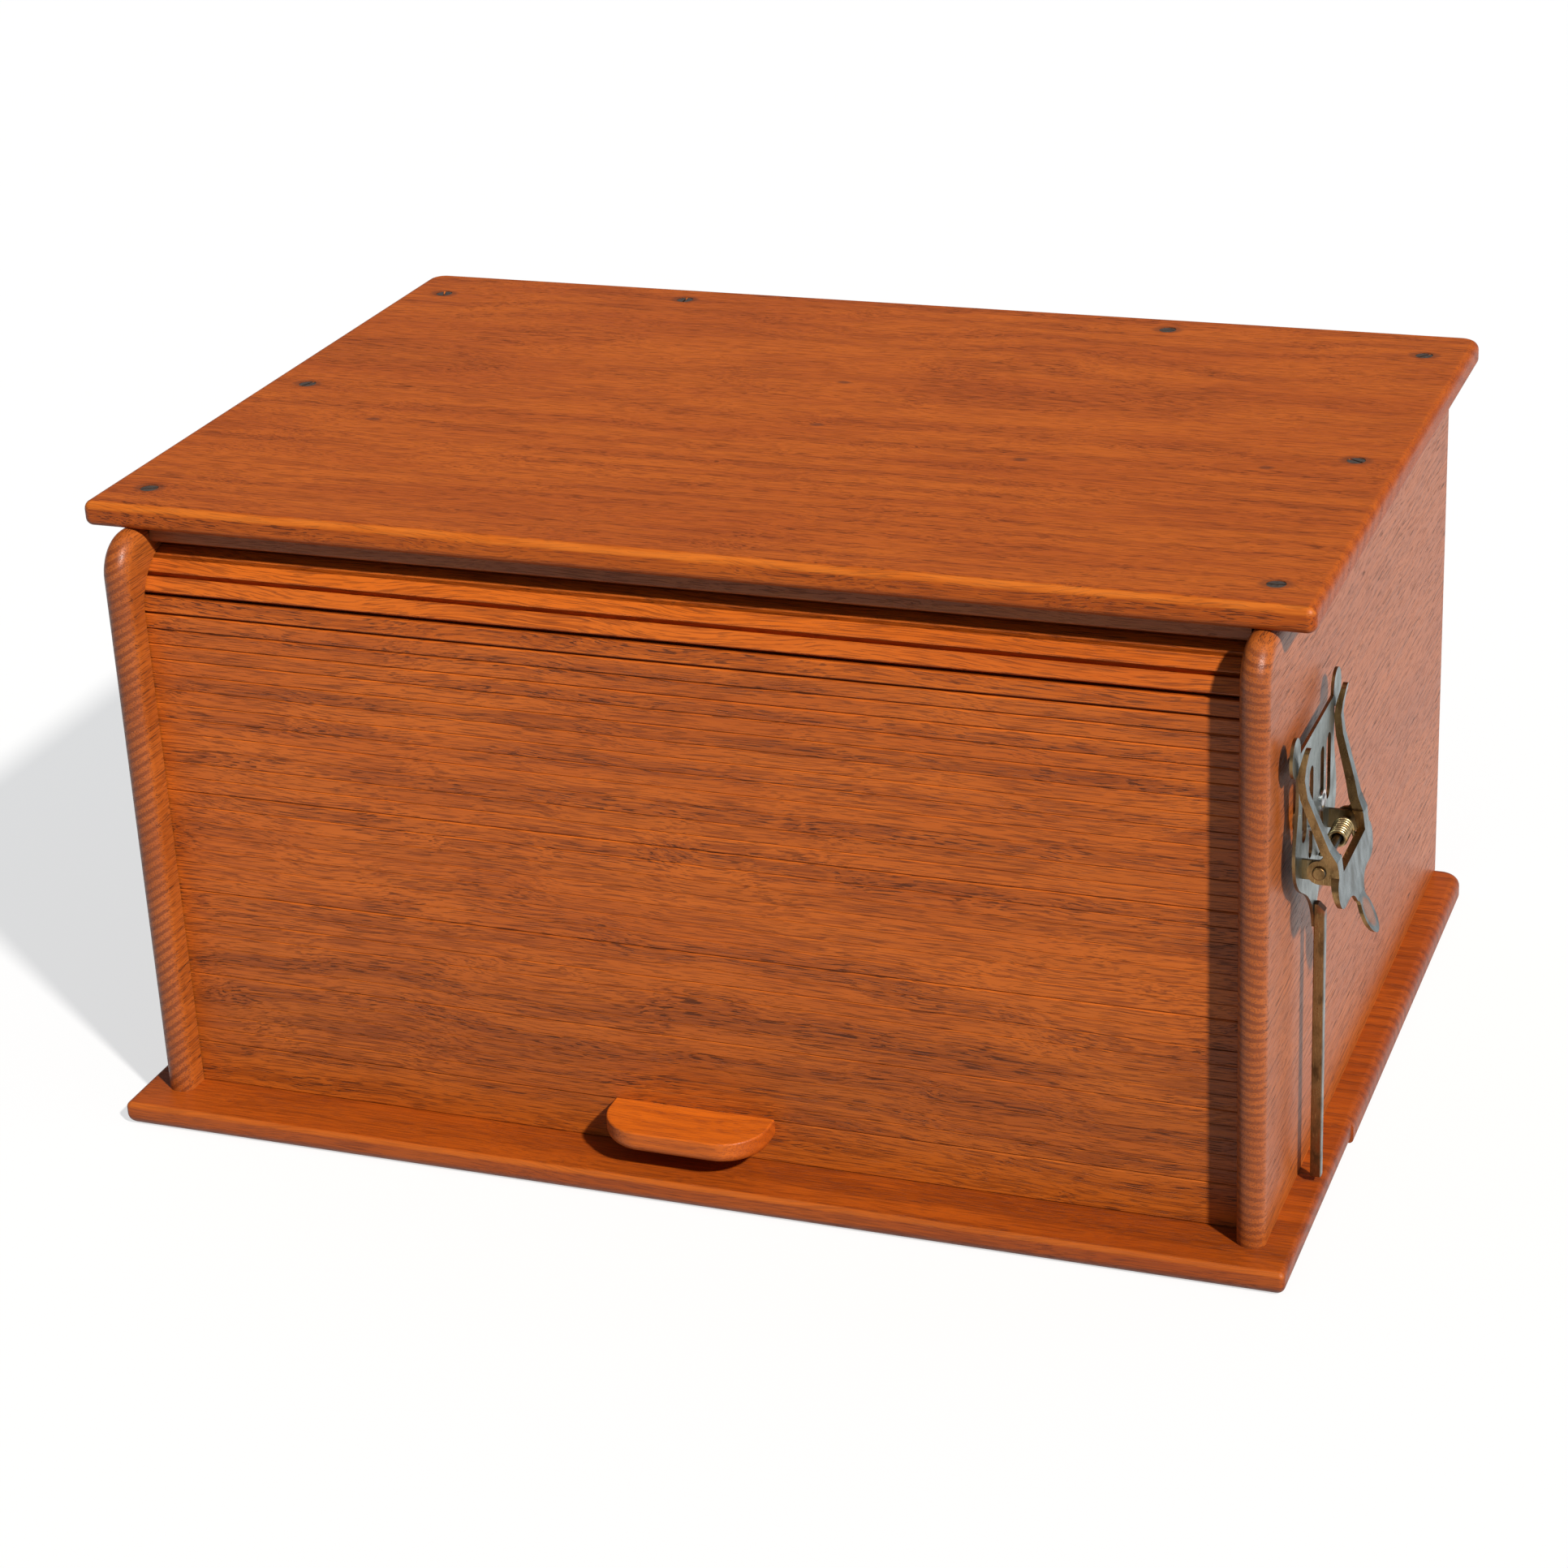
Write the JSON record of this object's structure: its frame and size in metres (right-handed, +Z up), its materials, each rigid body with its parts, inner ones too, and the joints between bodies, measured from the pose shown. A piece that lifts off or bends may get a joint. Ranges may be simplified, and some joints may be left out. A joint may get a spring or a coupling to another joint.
{
  "type": "roll-top bread box",
  "caption": "Oak bread box with a tambour shutter that rolls up under the top, and a sprung brass lyre clip on its right side.",
  "frame": {"origin": "centre of the base board's underside", "axes": "+X to the box's right as seen from its front, +Y to its back, +Z up"},
  "size_m": [0.4964, 0.348, 0.257],
  "materials": {
    "oak_top": "satin oiled, grain along X",
    "oak_side": "satin oiled, grain along Y",
    "oak_base": "satin oiled, grain along X",
    "oak_slat": "satin oiled, grain along X",
    "oak_inside": "dull, grain along X",
    "oak_pull": "satin oiled, grain along X",
    "cloth": "plain weave cotton",
    "screw_steel": "darkened, slotted",
    "screw_bright": "bright plated",
    "aged_brass": "aged, dull"
  },
  "bodies": {
    "case": {"base_front_board": "oak_base", "base_rear_board": "oak_base", "left_side_panel": "oak_side", "right_side_panel": "oak_side", "top_board": "oak_top", "top_front_rail": "oak_inside", "back_panel": "oak_inside", "top_screws": "screw_steel", "base_screws": "screw_steel", "clip_stem": "aged_brass", "clip_plate": "aged_brass", "clip_pin": "aged_brass", "clip_spring": "aged_brass", "clip_screws": "screw_bright"},
    "shutter": {"shutter_bar": "oak_slat", "shutter_pull": "oak_pull", "pull_screws": "screw_steel"},
    "slat_low_1": {"lower_slat_1": "oak_slat", "lower_cloth_1": "cloth"},
    "slat_low_2": {"lower_slat_2": "oak_slat", "lower_cloth_2": "cloth"},
    "slat_low_3": {"lower_slat_3": "oak_slat", "lower_cloth_3": "cloth"},
    "slat_low_4": {"lower_slat_4": "oak_slat", "lower_cloth_4": "cloth"},
    "slat_run": {"run_slats": "oak_slat", "run_cloth": "cloth"},
    "slat_bend_1": {"bend_slat_1": "oak_slat", "bend_cloth_1": "cloth"},
    "slat_bend_2": {"bend_slat_2": "oak_slat", "bend_cloth_2": "cloth"},
    "slat_bend_3": {"bend_slat_3": "oak_slat", "bend_cloth_3": "cloth"},
    "slat_bend_4": {"bend_slat_4": "oak_slat", "bend_cloth_4": "cloth"},
    "slat_tail": {"tail_slats": "oak_slat", "tail_cloth": "cloth"},
    "lever": {"clip_lever": "aged_brass"}
  },
  "joints": [
    {"name": "shutter_lift", "type": "slide", "parent": "case", "child": "shutter", "axis": [0, 0, 1], "range_m": [0, 0.186]},
    {"name": "lower_slat_1_turn", "type": "hinge", "parent": "case", "child": "slat_low_1", "pos_m": [0, 0.9048, 0.12255], "axis": [-1, 0, 0], "range_deg": [0, 10.15], "deforming": ["lower_slat_1", "lower_cloth_1"]},
    {"name": "lower_slat_2_turn", "type": "hinge", "parent": "case", "child": "slat_low_2", "pos_m": [0, 0.19964, 0.12565], "axis": [-1, 0, 0], "range_deg": [0, 30.45], "deforming": ["lower_slat_2", "lower_cloth_2"]},
    {"name": "lower_slat_3_turn", "type": "hinge", "parent": "case", "child": "slat_low_3", "pos_m": [0, 0.05475, 0.12875], "axis": [-1, 0, 0], "range_deg": [0, 50.75], "deforming": ["lower_slat_3", "lower_cloth_3"]},
    {"name": "lower_slat_4_turn", "type": "hinge", "parent": "case", "child": "slat_low_4", "pos_m": [0, -0.00993, 0.13185], "axis": [-1, 0, 0], "range_deg": [0, 71.05], "deforming": ["lower_slat_4", "lower_cloth_4"]},
    {"name": "run_turn", "type": "hinge", "parent": "case", "child": "slat_run", "pos_m": [0, -0.04574, 0.13474], "axis": [-1, 0, 0], "range_deg": [0, 90], "deforming": ["run_slats", "run_cloth"]},
    {"name": "bend_slat_1_turn", "type": "hinge", "parent": "case", "child": "slat_bend_1", "pos_m": [0, -0.04419, 0.11744], "axis": [-1, 0, 0], "range_deg": [0, 79.85], "deforming": ["bend_slat_1", "bend_cloth_1"]},
    {"name": "bend_slat_2_turn", "type": "hinge", "parent": "case", "child": "slat_bend_2", "pos_m": [0, -0.04109, 0.06735], "axis": [-1, 0, 0], "range_deg": [0, 59.55], "deforming": ["bend_slat_2", "bend_cloth_2"]},
    {"name": "bend_slat_3_turn", "type": "hinge", "parent": "case", "child": "slat_bend_3", "pos_m": [0, -0.03799, -0.02999], "axis": [-1, 0, 0], "range_deg": [0, 39.25], "deforming": ["bend_slat_3", "bend_cloth_3"]},
    {"name": "bend_slat_4_turn", "type": "hinge", "parent": "case", "child": "slat_bend_4", "pos_m": [0, -0.03489, -0.3258], "axis": [-1, 0, 0], "range_deg": [0, 18.95], "deforming": ["bend_slat_4", "bend_cloth_4"]},
    {"name": "tail_slide", "type": "slide", "parent": "case", "child": "slat_tail", "axis": [0, 1, 0], "range_m": [0, 0.186], "deforming": ["tail_slats", "tail_cloth"]},
    {"name": "clip_open", "type": "hinge", "parent": "case", "child": "lever", "pos_m": [0.2395, -0.1065, 0.151], "axis": [0, 1, 0], "range_deg": [0, 24], "stiffness_Nm_per_rad": 0.12, "springref_deg": -40.11, "deforming": ["clip_spring"]}
  ],
  "couplings": [
    {"joint": "lower_slat_1_turn", "follows": "shutter_lift", "rad_per_m": 0.95238},
    {"joint": "lower_slat_2_turn", "follows": "shutter_lift", "rad_per_m": 2.8571},
    {"joint": "lower_slat_3_turn", "follows": "shutter_lift", "rad_per_m": 4.7619},
    {"joint": "lower_slat_4_turn", "follows": "shutter_lift", "rad_per_m": 6.6667},
    {"joint": "run_turn", "follows": "shutter_lift", "rad_per_m": 8.4451},
    {"joint": "bend_slat_1_turn", "follows": "shutter_lift", "rad_per_m": 7.4928},
    {"joint": "bend_slat_2_turn", "follows": "shutter_lift", "rad_per_m": 5.588},
    {"joint": "bend_slat_3_turn", "follows": "shutter_lift", "rad_per_m": 3.6832},
    {"joint": "bend_slat_4_turn", "follows": "shutter_lift", "rad_per_m": 1.7785},
    {"joint": "tail_slide", "follows": "shutter_lift", "ratio": 1}
  ]
}
